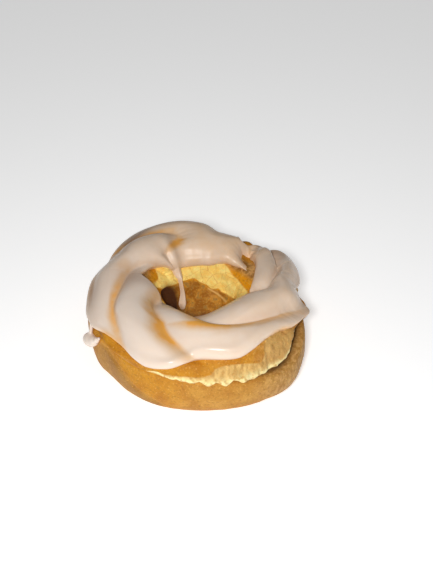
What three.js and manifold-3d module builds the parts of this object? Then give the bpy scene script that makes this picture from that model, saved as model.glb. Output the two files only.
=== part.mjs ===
// Iced choux pastry ring: six piped strands twisted round a wide soft base, the crust burst open along the
// side and in the hole, under a thick coat of set sugar icing with one drip outside and one in the hole.
// Millimetres, +Z up, standing on its flat underside. Azimuth 0 is +X, 90 is +Y, 270 is the shown front.
import * as THREE from "three";
import Module from "manifold-3d";

const wasm = await Module();
wasm.setup();

// Driving sizes
const RING_RADIUS = 28;
const GROOVE_DEPTH = 4.2;
const ICING_THICKNESS = 2.1;
const ICING_GAP = 0.3;
const ICING_ROUNDING = 2.2;
const ICING_DIP = 1.2;
const ICING_DIP_SLOPE = 1.5;
const ICING_ROOT = 1;
const CRAG_DEPTH = 1.1;
const CRAG_SIZE = 5;
const CRUST_UNEVENNESS = 0.35;
const CRUST_LUMP_SIZE = 11;
const CENTRE = [-2.19, -0.15];
const SCRAP_VOLUME = 5;

// Stations round the dough tube, as offset from the ring radius and height, from under its middle
// outward and up the base, over the cap and down into the hole
const SECTION = [
  [0, 0], [5.5, 0], [9.9, 1.1], [13.5, 4.8], [15, 10.2],
  [15.1, 14.8], [14.6, 17.8], [14.3, 19.4], [14.1, 21], [13.8, 23.2],
  [13.3, 25.8], [12.2, 28.6], [9.4, 31.6], [4.9, 33.9], [0, 34.6],
  [-4.4, 33.2], [-7.6, 29.8], [-9.7, 26.2], [-11.2, 22.9], [-12.4, 20.2],
  [-13.6, 17.6], [-15.3, 13.6], [-16.2, 9], [-15.6, 4], [-12.6, 0.9], [-9, 0],
];
const BASE_EDGE = 6.2;
const SEAM = 7;
const LIP = 8.1;
const ICING_LOWEST = 9;
const CAP_START = 9.5;
const CREST = 14;
const CAP_END = 18.5;
const RIM = 19.5;
const WALL_END = 22;
const FLAT_START = 23.4;
const FLAT_END = 1.9;
const HEIGHT_AT = { baseEdge: 18.3, lip: 21, rim: 19.1 };
const HOLLOW_MIDDLE = 9;
const HOLLOW_SPREAD = 1.5;

// Unevenness round the ring, as [azimuth, millimetres]
const BASE_TOP = [
  [10, 21.5], [60, 19.5], [110, 20.5], [160, 22], [195, 23.5], [225, 22.5], [245, 22], [258, 21.6],
  [270, 20], [285, 18.6], [300, 17.8], [312, 17.8], [318, 18.6], [324, 20], [330, 21], [340, 21.6],
  [352, 21],
];
const LIP_HEIGHT = [
  [10, 24.5], [60, 22], [110, 23], [160, 24.5], [195, 26], [225, 24.6], [245, 23.8], [258, 23.6],
  [270, 22.6], [278, 22.4], [288, 22], [300, 20.8], [312, 20.6], [317, 22.6], [320.5, 25.2],
  [326, 26.6], [333, 26], [345, 24.8],
];
const SEAM_DEPTH = [
  [10, 3], [60, 2.2], [110, 2.6], [160, 2.4], [195, 2], [212, 0.4], [240, 0.2], [258, 1.2], [275, 2],
  [300, 2.4], [315, 3.6], [330, 4.6], [345, 4],
];
// How far the seam between base and lip dips below the base's edge
const SEAM_DIP = [
  [10, 0.4], [40, 0], [240, 0], [270, 0.4], [300, 1], [312, 2.6], [320, 4.2], [330, 4], [340, 2.4],
  [350, 1],
];
const LIP_REACH = [
  [8, -2.4], [40, -1.6], [65, -1], [90, 0], [180, 0.4], [215, 0], [245, 0], [262, 0.6], [280, 0.9],
  [300, 0.9], [316, 0.5], [326, -0.6], [340, -1.8],
];
// The hollow under the icing where it stands clear of the dough
const HOLLOW = [
  [40, 0], [195, 0], [208, 1.8], [215, 0.6], [222, 0], [300, 0], [322, 0], [327, 2.8], [336, 2.6],
  [346, 1], [352, 0],
];
const CAP_REACH = [
  [0, -2.4], [12, -3], [24, -2.4], [36, -1.6], [50, -2.4], [60, -3], [72, -2.4], [85, -1.2], [120, 0.8],
  [140, 0.3], [149, -0.7], [156, -1.6], [164, -1.1], [172, 0], [188, 0.7], [204, 2.9], [212, 2.8], [245, 0.4],
  [300, 0], [328, 1.2], [340, 1.8], [350, 0.2],
];
const CAP_LIFT = [
  [0, -1.8], [24, -3.3], [37, -3.3], [47, -4], [57, -2.9], [68, -2.7], [78, -2.4], [88, -1.2],
  [100, -0.1], [120, 0.9], [150, 2.2], [185, 0.2], [240, 0], [300, 0],
];
// The same on the outer shoulder alone, where the piping ends behind
const SHOULDER_LIFT = [
  [30, 0], [40, 0.8], [48, -0.2], [56, 2.2], [63, 1.2], [70, -0.6], [77, -1.5], [85, -0.2], [95, 0],
  [300, 0],
];
const BASE_REACH = [
  [0, -4], [40, -0.6], [110, 0], [180, 1.4], [203, 1.6], [214, 0.1], [229, 0], [245, -0.6], [272, -1.5],
  [286, -0.5], [300, 1.1], [318, 2.7], [331, 1], [345, -1.9],
];
const HOLE_REACH = [
  [0, 0], [90, 0], [172, 0], [194, -2.6], [212, -1.8], [245, -2.2], [290, -2.6], [325, -1.8],
];
const RIM_HEIGHT = [
  [0, 24], [28, 19.5], [56, 17], [78, 17.9], [96, 20.8], [120, 21.9], [150, 22.4], [200, 22.5],
  [300, 22.5],
];

// The dark cavity low in the wall of the hole
const CAVITY = { azimuth: 157, halfWidth: 13, station: 20.3, halfHeight: 1.4, depth: 3 };

// Torn lumps that hang from the lip, as azimuth, half width in degrees and drop
const LUMPS = [
  [252, 3, 0.4], [259, 3, 0.5], [265.5, 3, 0.5], [272.8, 2.5, 1.7], [281.4, 3, 1.8], [289.5, 3.2, 1.1],
  [296, 3.4, 0.9], [303, 4, 0.6],
];

// Piped strands: the azimuth of the groove before each strand, at each radius, and each strand's form
const GROOVE_RADII = [18, 20, 22, 24, 26, 28, 30, 32, 34, 37, 41];
const STRANDS = [
  { groove: [-4, -5, -8, -9, -8, -4, 1, 8, 16, 32, 46], height: 0.75, crest: 0.5 },
  { groove: [0, 6, 18, 34, 41, 44, 47, 48, 50, 57, 68], height: 1.15, crest: 0.5 },
  { groove: [126, 130, 129, 118, 111, 109, 110.5, 116.5, 127, 140, 152], height: 1, crest: 0.5 },
  { groove: [138, 146, 153, 160, 166, 174, 184, 196, 208, 219, 231], height: 1, crest: 0.5 },
  { groove: [196, 205, 215, 225, 233, 240, 244, 248, 253, 261, 272], height: 1, crest: 0.5 },
  { groove: [240, 250, 262, 272, 279, 287, 304, 320, 330, 339, 351], height: 1.3, crest: 0.7 },
];
const STRAND_FULLNESS = 2.2;
const SHARP = 0.1;
const FILLED = 0.25;

// Where the crust has burst: stations between which the pale crumb shows, outside and in the hole
const TORN_ABOVE = 7.4;
const TORN_BELOW = [
  [20, 9.4], [110, 9.2], [180, 8.8], [205, 7.6], [225, 7], [240, 7.4], [246, 8.4], [252, 8.6],
  [259, 8.8], [268.5, 8.95], [274, 9.4], [276.5, 10.1], [282.5, 10.4], [289, 10.3], [295, 10],
  [300, 9.7], [302, 10.1], [304, 11.2], [307, 12], [316, 12.2], [324, 12.2], [329, 8], [345, 7.8],
];
const TORN_INSIDE_FROM = [
  [0, 17.6], [16, 17.2], [29, 17.1], [42, 16.8], [52, 16.4], [62, 16], [75, 15.6], [136, 15.6],
  [148, 16.6], [156, 17], [175, 16.2], [270, 16],
];
const TORN_INSIDE_TO = [
  [0, 20], [33, 20], [56, 19.6], [62, 19.2], [72, 19.65], [80, 19.35], [92, 19.5], [100, 19.1],
  [116, 19.4], [136, 19.5], [153, 19.2], [158, 18.8], [164, 17.6], [172, 17.2], [200, 19], [300, 19.6],
];

// The icing's edges, as heights on the plain section, and the bare wedge between two strands
const ICING_OUTER = [
  [3, 26], [25, 25.6], [42, 26.6], [49, 28.6], [56, 31.2], [62, 29.6], [68, 27], [80, 25.4], [120, 25],
  [184, 24.5], [206, 25.8], [215, 28.5], [225, 28.2], [236, 25.8], [243, 24.4], [252, 25.6], [263, 29],
  [270, 30], [288, 29], [297, 30.1], [306, 31.2], [317, 31.2], [326, 29.6], [336, 28.1], [343, 27.2],
  [349, 28.8], [354, 28.4],
];
const ICING_INNER = [
  [4, 28.8], [18, 31], [45, 31], [56, 30.2], [66, 29.2], [79, 27.4], [99, 25.9], [114, 25.5],
  [128, 25.6], [138, 27.9], [148, 29.4], [163, 31.4], [174, 32.4], [188, 28], [200, 25], [240, 23],
  [300, 23], [340, 25],
];
const BARE_RADII = [20, 21.6, 23.5, 25.2, 27.4, 29.6, 31.4, 33.2, 35, 37, 41];
const BARE_FROM = [5, 16, 24, 29, 36, 42, 44.5, 47, 51.8, 56.4, 67.4];
const BARE_TO = [30, 35, 43, 49, 51, 52, 51, 49, 52.8, 57.6, 68.6];
const BARE_TIP = 33.2;
const BARE_START = 12.7;
const BARE_SLANT = 0.6;
const DRIP_STATIONS = [15.5, 18.3, 20.4, 21.3, 21.75];
const DRIP_AZIMUTH = [122, 123, 124, 129.5, 132];
const DRIP_HALF_WIDTH = [2.4, 1.4, 1.2, 1.7, 0.2];
const DROP = { azimuth: 202.5, radius: 45.4, height: 20.6, size: [3.1, 3.6, 2.6] };
const THREAD = { radius: 1, from: [197.5, 44, 28], to: [199.5, 45.4, 21.5] };

// Columns of the two surfaces between the seam lines that they follow, and rows, as stations
const CRUST_COLUMNS = [7, 15, 12, 12, 17, 17];
const COAT_COLUMNS = [7, 4, 13, 12, 13, 13, 18];
const CRUST_ROWS = [
  0.1, 1, 1.9, 2.6, 3.3, 4.1, 4.9, 5.6, 6.2, 6.7, 7.1, 7.6, 8.1, 8.8, 9.6, 10.4, 11.1, 11.7, 12.2, 12.7,
  13.2, 13.7, 14.2, 14.7, 15.2, 15.7, 16.3, 17, 17.8, 18.6, 19.3, 19.9, 20.6, 21.5, 22.5, 23.4, 24.2, 25,
];
const COAT_EDGE_STEPS = [-1.2, -0.3, 0, 0.4, 1.1, 2.2];
const COAT_ROWS = 14;
const DRIP_ROWS = 6;
const ROOT_ROWS = 5;
const EDGE_SEARCH_STEP = 0.05;

const radians = THREE.MathUtils.degToRad;
const clamp = THREE.MathUtils.clamp;
const bell = (x) => Math.exp(-x * x);
const turn = (degrees) => THREE.MathUtils.euclideanModulo(degrees, 360);
const apart = (a, b) => turn(a - b + 180) - 180;

// A smooth curve from b to c with a before and d after them
function cubic(a, b, c, d, x) {
  return b + 0.5 * x * (c - a + x * (2 * a - 5 * b + 4 * c - d + x * (3 * (b - c) + d - a)));
}

// Straight lines between marks, level beyond the ends
function ramp(x, xs, ys) {
  if (x <= xs[0]) return ys[0];
  for (let i = 1; i < xs.length; i++) {
    if (x < xs[i]) return ys[i - 1] + ((ys[i] - ys[i - 1]) * (x - xs[i - 1])) / (xs[i] - xs[i - 1]);
  }
  return ys[ys.length - 1];
}

function ease(x, low, high) {
  const t = clamp((x - low) / (high - low), 0, 1);
  return t * t * (3 - 2 * t);
}

// A smooth curve round the ring through [azimuth, value] marks
function around(azimuth, marks) {
  const n = marks.length;
  const at = turn(azimuth);
  let i = n - 1;
  for (let k = 0; k < n; k++) if (marks[k][0] <= at) i = k;
  if (at < marks[0][0]) i = n - 1;
  const from = marks[i][0];
  const span = turn(marks[(i + 1) % n][0] - from);
  const value = (k) => marks[(i + k + n) % n][1];
  return cubic(value(-1), value(0), value(1), value(2), turn(at - from) / span);
}

// The plain section at a station
function section(station) {
  const n = SECTION.length;
  const i = Math.floor(station);
  const [a, b, c, d] = [-1, 0, 1, 2].map((k) => SECTION[(i + k + n) % n]);
  return [0, 1].map((axis) => cubic(a[axis], b[axis], c[axis], d[axis], station - i));
}

function outward(station) {
  const n = SECTION.length;
  const step = 0.02;
  const [o1, h1] = section((station + step) % n);
  const [o0, h0] = section((station - step + n) % n);
  const length = Math.hypot(o1 - o0, h1 - h0);
  return [(h1 - h0) / length, (o0 - o1) / length];
}

// The ring without strands and crags: radius and height, uneven as baked
function plainRing(azimuth, station) {
  let [offset, height] = section(station);
  const baseEdge = around(azimuth, BASE_TOP) - HEIGHT_AT.baseEdge;
  const lip = around(azimuth, LIP_HEIGHT) - HEIGHT_AT.lip;
  const rim = around(azimuth, RIM_HEIGHT) - HEIGHT_AT.rim;
  height += baseEdge * ramp(station, [3, BASE_EDGE, 8], [0, 1, 0]);
  height += lip * ramp(station, [BASE_EDGE, 8, 9, 11.5], [0, 1, 0.8, 0]);
  height += around(azimuth, CAP_LIFT) * ramp(station, [7.5, 12, 16, 20], [0, 1, 1, 0]);
  height += around(azimuth, SHOULDER_LIFT) * ramp(station, [8, 11, 12.5, 14], [0, 1, 1, 0]);
  height += rim * ramp(station, [17, RIM, 20.2, WALL_END], [0, 1, 1, 0]);
  height -= around(azimuth, SEAM_DIP) * bell((station - SEAM) / 0.5);
  offset -= around(azimuth, SEAM_DEPTH) * bell((station - SEAM) / 0.6);
  offset += around(azimuth, LIP_REACH) * bell((station - LIP) / 0.8);
  offset += around(azimuth, CAP_REACH) * ramp(station, [7, 9, 13, 16], [0, 1, 0.8, 0]);
  offset += around(azimuth, BASE_REACH) * ramp(station, [0.5, 3, 6, 7.5], [0, 1, 1, 0]);
  offset += around(azimuth, HOLE_REACH) * ramp(station, [13, 16.5, 20, 24.5], [0, 1, 0.6, 0]);
  offset -= around(azimuth, HOLLOW) * bell((station - HOLLOW_MIDDLE) / HOLLOW_SPREAD);
  const cavityAcross = apart(azimuth, CAVITY.azimuth) / CAVITY.halfWidth;
  const cavityUp = (station - CAVITY.station) / CAVITY.halfHeight;
  offset += CAVITY.depth * bell(Math.hypot(cavityAcross, cavityUp));
  for (const [where, half, drop] of LUMPS) {
    const lump = drop * bell(apart(azimuth, where) / half) * bell((station - LIP) / 0.7);
    height -= lump;
    offset += 0.5 * lump;
  }
  return [RING_RADIUS + offset, Math.max(height, 0)];
}

// Azimuths of the grooves at a radius, and the same with the bare wedge's edges in place of its groove
function grooves(radius) {
  return STRANDS.map((strand) => ramp(radius, GROOVE_RADII, strand.groove));
}

function coatSeams(radius) {
  const seams = grooves(radius);
  seams.splice(1, 1, ramp(radius, BARE_RADII, BARE_FROM), ramp(radius, BARE_RADII, BARE_TO));
  return seams;
}

// Height of the piped strands over the cap: 0 at their crests, down to -1 in the grooves
function strandProfile(azimuth, radius, softness) {
  const edges = grooves(radius);
  let swell = 0;
  STRANDS.forEach((strand, k) => {
    const width = turn(edges[(k + 1) % STRANDS.length] - edges[k]);
    const t = turn(azimuth - edges[k]) / width;
    if (t >= 1) return;
    const x = t < strand.crest ? 1 - t / strand.crest : (t - strand.crest) / (1 - strand.crest);
    swell = strand.height * (1 - x ** STRAND_FULLNESS);
  });
  return Math.hypot(swell, softness) - 1;
}

function strandRelief(azimuth, station, softness) {
  const cap = ramp(station, [CAP_START, 12, 16, CAP_END], [0, 1, 1, 0]);
  return GROOVE_DEPTH * cap * strandProfile(azimuth, RING_RADIUS + section(station)[0], softness);
}

// Repeatable smooth noise, -1 to 1, for crags and lumps
function lattice(i, j, k) {
  const n = Math.sin(i * 12.9898 + j * 78.233 + k * 37.719) * 43758.5453;
  return n - Math.floor(n);
}

function noise(point, size) {
  const cell = point.map((c) => Math.floor(c / size));
  const t = point.map((c, axis) => ease(c / size - cell[axis], 0, 1));
  let sum = 0;
  for (const i of [0, 1]) {
    for (const j of [0, 1]) {
      for (const k of [0, 1]) {
        const weight = (i ? t[0] : 1 - t[0]) * (j ? t[1] : 1 - t[1]) * (k ? t[2] : 1 - t[2]);
        sum += weight * lattice(cell[0] + i, cell[1] + j, cell[2] + k);
      }
    }
  }
  return 2 * sum - 1;
}

// How far the crust has burst at a place, 0 to 1
function torn(azimuth, station) {
  const top = around(azimuth, TORN_BELOW);
  const outside = ease(station, TORN_ABOVE, TORN_ABOVE + 0.3) * (1 - ease(station, top - 0.2, top + 0.2));
  const from = around(azimuth, TORN_INSIDE_FROM);
  const to = around(azimuth, TORN_INSIDE_TO);
  const inside = ease(station, from - 0.2, from + 0.2) * (1 - ease(station, to - 0.2, to + 0.2));
  return Math.max(outside, inside);
}

function position(azimuth, station, out) {
  const [radius, height] = plainRing(azimuth, station);
  const [outwardR, outwardZ] = outward(station);
  const r = radius + outwardR * out;
  const angle = radians(azimuth);
  return [r * Math.cos(angle), r * Math.sin(angle), Math.max(height + outwardZ * out, 0)];
}

function crags(azimuth, station) {
  const point = position(azimuth, station, 0);
  const standing = ease(station, 1, 3) * (1 - ease(station, 23, 24.5));
  const uncovered = Math.max(1 - ease(station, 9, 11), ease(station, 16, 18));
  const lumps = CRUST_UNEVENNESS * standing * uncovered * noise(point, CRUST_LUMP_SIZE);
  return lumps + CRAG_DEPTH * torn(azimuth, station) * uncovered * noise(point, CRAG_SIZE);
}

function crust(azimuth, station) {
  return strandRelief(azimuth, station, SHARP) + crags(azimuth, station);
}

// Distance inside the icing's edge, negative outside it
const HEIGHTS = SECTION.map((point) => point[1]);
const STEPS = SECTION.map((point, i) => i);
const ARC = [0];
for (let i = 1; i < SECTION.length; i++) {
  ARC.push(ARC[i - 1] + Math.hypot(SECTION[i][0] - SECTION[i - 1][0], SECTION[i][1] - SECTION[i - 1][1]));
}
const outerStations = STEPS.slice(ICING_LOWEST, CREST + 1);
const innerStations = STEPS.slice(CREST, WALL_END + 1).reverse();

function insideBand(azimuth, station) {
  const outer = ramp(around(azimuth, ICING_OUTER), outerStations.map((s) => HEIGHTS[s]), outerStations);
  const inner = ramp(around(azimuth, ICING_INNER), innerStations.map((s) => HEIGHTS[s]), innerStations);
  const arc = ramp(station, STEPS, ARC);
  return Math.min(arc - ramp(outer, STEPS, ARC), ramp(inner, STEPS, ARC) - arc);
}

function insideIcing(azimuth, station) {
  const radius = RING_RADIUS + section(station)[0];
  let depth = insideBand(azimuth, station);
  if (station > BARE_START && radius <= BARE_TIP) {
    const past = apart(azimuth, ramp(radius, BARE_RADII, BARE_FROM));
    const before = apart(ramp(radius, BARE_RADII, BARE_TO), azimuth);
    depth = Math.min(depth, -BARE_SLANT * radians(Math.min(past, before)) * radius);
  }
  if (station > DRIP_STATIONS[0] && station < DRIP_STATIONS[DRIP_STATIONS.length - 1]) {
    const across = Math.abs(radians(apart(azimuth, ramp(station, DRIP_STATIONS, DRIP_AZIMUTH)))) * radius;
    depth = Math.max(depth, ramp(station, DRIP_STATIONS, DRIP_HALF_WIDTH) - across);
  }
  return depth;
}

function icingTop(azimuth, station) {
  const depth = insideIcing(azimuth, station);
  const rounded = Math.sqrt(1 - (1 - clamp(depth / ICING_ROUNDING, 0, 1)) ** 2);
  const under = Math.max(ICING_DIP_SLOPE * depth, -ICING_DIP);
  const coat = depth > 0 ? (ICING_THICKNESS + ICING_GAP) * rounded : under;
  return strandRelief(azimuth, station, FILLED) + coat;
}

// Columns that follow the seam lines over the cap and unwind under the base: each gives its azimuth at a
// station. The counts say how many columns there are from each seam to the next
function columnsAlong(seams, counts) {
  const columns = [];
  counts.forEach((count, k) => {
    for (let i = 0; i < count; i++) {
      const between = (radius) => {
        const edges = seams(radius);
        const width = turn(edges[(k + 1) % edges.length] - edges[k]);
        return edges[k] + (width * i) / count;
      };
      columns.push((station) => {
        const capStation = clamp(station < FLAT_END ? CAP_END : station, CAP_START, CAP_END);
        const azimuth = between(RING_RADIUS + section(capStation)[0]);
        if (station > FLAT_END && station < FLAT_START) return azimuth;
        const outside = between(RING_RADIUS + section(CAP_START)[0]);
        const past = (station - FLAT_START + SECTION.length) % SECTION.length;
        return THREE.MathUtils.lerp(azimuth, outside, past / (FLAT_END - FLAT_START + SECTION.length));
      });
    }
  });
  return columns;
}

// A closed solid woven from columns and the rows across them: a row gives its station on a column, and
// its distance out of the plain ring at an azimuth and a station. Each cell is split along the diagonal
// that is shorter where the columns lean
function weave(columns, rows) {
  const azimuths = [];
  const vertices = [];
  for (const row of rows) {
    columns.forEach((column, c) => {
      const station = row.station(c);
      const azimuth = column(station);
      const [x, y, z] = position(azimuth, station, row.out(azimuth, station));
      azimuths.push(azimuth);
      vertices.push(x - CENTRE[0], y - CENTRE[1], z);
    });
  }
  const triangles = [];
  const count = columns.length;
  for (let r = 0; r < rows.length; r++) {
    for (let c = 0; c < count; c++) {
      const [below, above] = [r * count, ((r + 1) % rows.length) * count];
      const next = (c + 1) % count;
      const leansForward = apart(azimuths[above + c], azimuths[below + c]) > 0;
      const [first, last] = leansForward ? [above + c, below + next] : [above + next, below + c];
      triangles.push(below + c, below + next, first, above + next, above + c, last);
    }
  }
  return solid(vertices, triangles);
}

function solid(vertices, triangles) {
  const mesh = new wasm.Mesh({
    numProp: 3,
    vertProperties: new Float32Array(vertices),
    triVerts: new Uint32Array(triangles),
  });
  return new wasm.Manifold(mesh);
}

// The dough, swollen by a clearance where the icing is fitted to it
function dough(clearance) {
  const out = (azimuth, station) => crust(azimuth, station) + clearance;
  const rows = CRUST_ROWS.map((row) => ({ station: () => row, out }));
  return weave(columnsAlong(grooves, CRUST_COLUMNS), rows);
}

// Distances round the section of the coat's rows on a column: close together at the coat's edges, then
// down the drip
function coatArcs(column) {
  const covered = [];
  for (let station = CAP_START; station < WALL_END; station += EDGE_SEARCH_STEP) {
    if (insideBand(column(station), station) > 0) covered.push(station);
  }
  const outer = ramp(covered[0], STEPS, ARC);
  const inner = ramp(covered[covered.length - 1], STEPS, ARC);
  const [margin, rounding] = [-COAT_EDGE_STEPS[0], COAT_EDGE_STEPS[COAT_EDGE_STEPS.length - 1]];
  const arcs = COAT_EDGE_STEPS.map((step) => outer + step);
  for (let i = 1; i < COAT_ROWS; i++) {
    arcs.push(THREE.MathUtils.lerp(outer + rounding, inner - rounding, i / COAT_ROWS));
  }
  arcs.push(...COAT_EDGE_STEPS.map((step) => inner - step).reverse());
  for (let i = 1; i <= DRIP_ROWS; i++) {
    arcs.push(THREE.MathUtils.lerp(inner + margin, ARC[WALL_END], i / DRIP_ROWS));
  }
  return arcs;
}

// The poured coat, rooted inside the dough, before the dough is cut out of it
function pouredCoat() {
  const columns = columnsAlong(coatSeams, COAT_COLUMNS);
  const arcs = columns.map(coatArcs);
  const stationAt = (arc) => ramp(arc, ARC, STEPS);
  const top = arcs[0].map((_, i) => ({ station: (c) => stationAt(arcs[c][i]), out: icingTop }));
  const root = Array.from({ length: ROOT_ROWS + 1 }, (_, i) => ({
    station: (c) => stationAt(THREE.MathUtils.lerp(ARC[WALL_END], arcs[c][0], i / ROOT_ROWS)),
    out: () => -GROOVE_DEPTH - ICING_ROOT,
  }));
  return weave(columns, [...top, ...root]);
}

function cylindrical([azimuth, radius, height]) {
  const [x, y] = [radius * Math.cos(radians(azimuth)), radius * Math.sin(radians(azimuth))];
  return new THREE.Vector3(x - CENTRE[0], y - CENTRE[1], height);
}

// A three.js shape as a closed solid, its seam vertices welded by place
function welded(geometry) {
  const { position: places } = geometry.attributes;
  const seen = new Map();
  const vertices = [];
  const welds = [];
  for (let i = 0; i < places.count; i++) {
    const point = [places.getX(i), places.getY(i), places.getZ(i)];
    const key = point.map((c) => Math.round(c * 1e4)).join();
    if (!seen.has(key)) {
      seen.set(key, seen.size);
      vertices.push(...point);
    }
    welds.push(seen.get(key));
  }
  const triangles = [];
  for (let i = 0; i < geometry.index.count; i += 3) {
    const [a, b, c] = [0, 1, 2].map((k) => welds[geometry.index.getX(i + k)]);
    if (a !== b && b !== c && c !== a) triangles.push(a, b, c);
  }
  return solid(vertices, triangles);
}

// The drop that hangs at the side on a thread of icing
function hangingDrop() {
  const ball = new THREE.SphereGeometry(1, 20, 12);
  ball.scale(...DROP.size);
  ball.rotateZ(radians(DROP.azimuth));
  ball.translate(...cylindrical([DROP.azimuth, DROP.radius, DROP.height]));
  const [from, to] = [cylindrical(THREAD.from), cylindrical(THREAD.to)];
  const thread = new THREE.CapsuleGeometry(THREAD.radius, from.distanceTo(to), 4, 12);
  const along = new THREE.Vector3().subVectors(from, to).normalize();
  thread.applyQuaternion(new THREE.Quaternion().setFromUnitVectors(new THREE.Vector3(0, 1, 0), along));
  thread.translate(...from.clone().add(to).multiplyScalar(0.5));
  return welded(ball).add(welded(thread));
}

// The icing, fitted to the baked ring with a clearance
function pour(baked) {
  const coat = pouredCoat().add(hangingDrop()).subtract(dough(ICING_GAP)).subtract(baked);
  const pieces = coat.decompose().filter((piece) => piece.volume() > SCRAP_VOLUME);
  return wasm.Manifold.compose(pieces);
}

function named(name, shape, material) {
  const { numProp, vertProperties, triVerts } = shape.getMesh();
  const geometry = new THREE.BufferGeometry();
  geometry.setAttribute("position", new THREE.BufferAttribute(vertProperties, numProp));
  geometry.setIndex(new THREE.BufferAttribute(triVerts, 1));
  const mesh = new THREE.Mesh(geometry, material);
  mesh.name = name;
  return mesh;
}

const bakedCrust = new THREE.MeshStandardMaterial({ color: 0xc98f3e, roughness: 0.75, metalness: 0 });
const sugarIcing = new THREE.MeshStandardMaterial({ color: 0xe4d3c6, roughness: 0.3, metalness: 0 });

const ring = new THREE.Group();
const baked = dough(0);
ring.add(named("choux_ring", baked, bakedCrust));
ring.add(named("icing", pour(baked), sugarIcing));

export default ring;
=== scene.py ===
import bpy
import numpy as np
from mathutils import Matrix, Vector


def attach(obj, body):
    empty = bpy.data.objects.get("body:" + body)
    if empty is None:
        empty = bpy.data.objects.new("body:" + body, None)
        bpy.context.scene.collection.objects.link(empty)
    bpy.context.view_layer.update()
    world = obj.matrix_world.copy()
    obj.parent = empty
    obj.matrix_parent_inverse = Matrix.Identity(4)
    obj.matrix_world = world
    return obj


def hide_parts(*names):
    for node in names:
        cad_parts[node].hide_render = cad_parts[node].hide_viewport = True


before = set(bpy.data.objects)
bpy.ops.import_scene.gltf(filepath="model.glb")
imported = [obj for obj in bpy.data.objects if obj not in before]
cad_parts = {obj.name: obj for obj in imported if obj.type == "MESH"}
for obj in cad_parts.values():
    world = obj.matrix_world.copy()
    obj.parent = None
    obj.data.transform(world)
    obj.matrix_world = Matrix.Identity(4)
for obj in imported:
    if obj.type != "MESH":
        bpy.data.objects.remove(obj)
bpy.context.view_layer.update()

# Driving sizes, as in the part
MM = 0.001
RING_RADIUS = 28
GROOVE_DEPTH = 4.2
ICING_THICKNESS = 2.1
ICING_GAP = 0.3
ICING_ROUNDING = 2.2
ICING_DIP = 1.2
ICING_DIP_SLOPE = 1.5
ICING_ROOT = 1
CRAG_DEPTH = 1.1
CRAG_SIZE = 5
CRUST_UNEVENNESS = 0.35
CRUST_LUMP_SIZE = 11

# The middle of the box round the form, which is moved onto the origin
CENTRE = (-2.19, -0.15)

# Stations round the dough tube, as offset from the ring radius and height, from under its middle
# outward and up the base, over the cap and down into the hole
SECTION = np.array([
    (0, 0), (5.5, 0), (9.9, 1.1), (13.5, 4.8), (15, 10.2),
    (15.1, 14.8), (14.6, 17.8), (14.3, 19.4), (14.1, 21), (13.8, 23.2),
    (13.3, 25.8), (12.2, 28.6), (9.4, 31.6), (4.9, 33.9), (0, 34.6),
    (-4.4, 33.2), (-7.6, 29.8), (-9.7, 26.2), (-11.2, 22.9), (-12.4, 20.2),
    (-13.6, 17.6), (-15.3, 13.6), (-16.2, 9), (-15.6, 4), (-12.6, 0.9), (-9, 0),
])
BASE_EDGE = 6.2
SEAM = 7
LIP = 8.1
ICING_LOWEST = 9
CAP_START = 9.5
CREST = 14
CAP_END = 18.5
RIM = 19.5
WALL_END = 22
BASE_EDGE_HEIGHT = 18.3
LIP_LEVEL = 21
RIM_LEVEL = 19.1

# Stations over which each unevenness rises, holds and fades
TOP_SPAN = (3, BASE_EDGE, 8)
LIP_SPAN = (BASE_EDGE, 8, 9, 11.5)
CAP_LIFT_SPAN = (7.5, 12, 16, 20)
SHOULDER_SPAN = (8, 11, 12.5, 14)
RIM_SPAN = (17, RIM, 20.2, WALL_END)
CAP_REACH_SPAN = (7, 9, 13, 16)
BASE_REACH_SPAN = (0.5, 3, 6, 7.5)
HOLE_REACH_SPAN = (13, 16.5, 20, 24.5)
STRAND_SPAN = (CAP_START, 12, 16, CAP_END)

# Half widths, in stations, of the seam, of its dip, of the lip's reach and of the torn lumps
SEAM_SPREAD = 0.6
DIP_SPREAD = 0.5
LIP_SPREAD = 0.8
LUMP_SPREAD = 0.7

# Unevenness round the ring, as (azimuth, millimetres)
BASE_TOP = (
    (10, 21.5), (60, 19.5), (110, 20.5), (160, 22), (195, 23.5), (225, 22.5), (245, 22), (258, 21.6),
    (270, 20), (285, 18.6), (300, 17.8), (312, 17.8), (318, 18.6), (324, 20), (330, 21), (340, 21.6),
    (352, 21),
)
LIP_HEIGHT = (
    (10, 24.5), (60, 22), (110, 23), (160, 24.5), (195, 26), (225, 24.6), (245, 23.8), (258, 23.6),
    (270, 22.6), (278, 22.4), (288, 22), (300, 20.8), (312, 20.6), (317, 22.6), (320.5, 25.2), (326, 26.6),
    (333, 26), (345, 24.8),
)
SEAM_DEPTH = (
    (10, 3), (60, 2.2), (110, 2.6), (160, 2.4), (195, 2), (212, 0.4), (240, 0.2), (258, 1.2), (275, 2),
    (300, 2.4), (315, 3.6), (330, 4.6), (345, 4),
)
# How far the seam between base and lip dips below the base's edge
SEAM_DIP = (
    (10, 0.4), (40, 0), (240, 0), (270, 0.4), (300, 1),
    (312, 2.6), (320, 4.2), (330, 4), (340, 2.4), (350, 1),
)
LIP_REACH = (
    (8, -2.4), (40, -1.6), (65, -1), (90, 0), (180, 0.4), (215, 0), (245, 0), (262, 0.6), (280, 0.9),
    (300, 0.9), (316, 0.5), (326, -0.6), (340, -1.8),
)
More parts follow.
